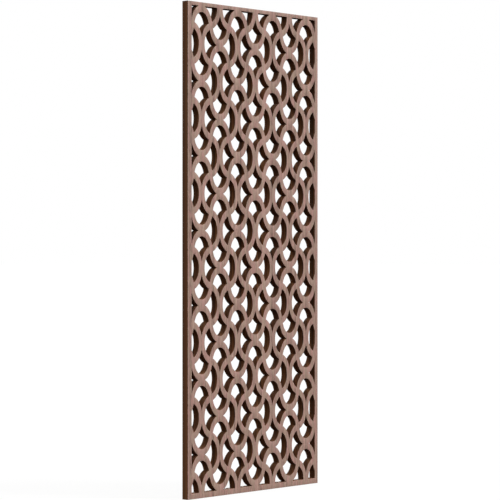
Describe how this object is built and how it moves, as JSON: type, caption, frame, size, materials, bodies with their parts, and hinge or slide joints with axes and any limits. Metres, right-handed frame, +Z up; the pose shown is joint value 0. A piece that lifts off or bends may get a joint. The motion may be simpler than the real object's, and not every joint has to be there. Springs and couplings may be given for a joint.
{
  "type": "fretwork wall panel",
  "caption": "Tall flat wooden wall panel, pierced right through with interlaced wavy strands that leave teardrop openings inside a narrow plain border.",
  "frame": {"origin": "on the back face, at mid width, half way up the bottom rail", "axes": "+X along the width, +Y out of the back face towards the wall, +Z up the height; the front faces -Y"},
  "size_m": [0.483, 0.019, 1.2189],
  "materials": {
    "oiled_wood": "oiled hardwood with a fine upright grain, not glossy"
  },
  "bodies": {
    "root": {"fretwork_board": "oiled_wood"}
  },
  "joints": []
}
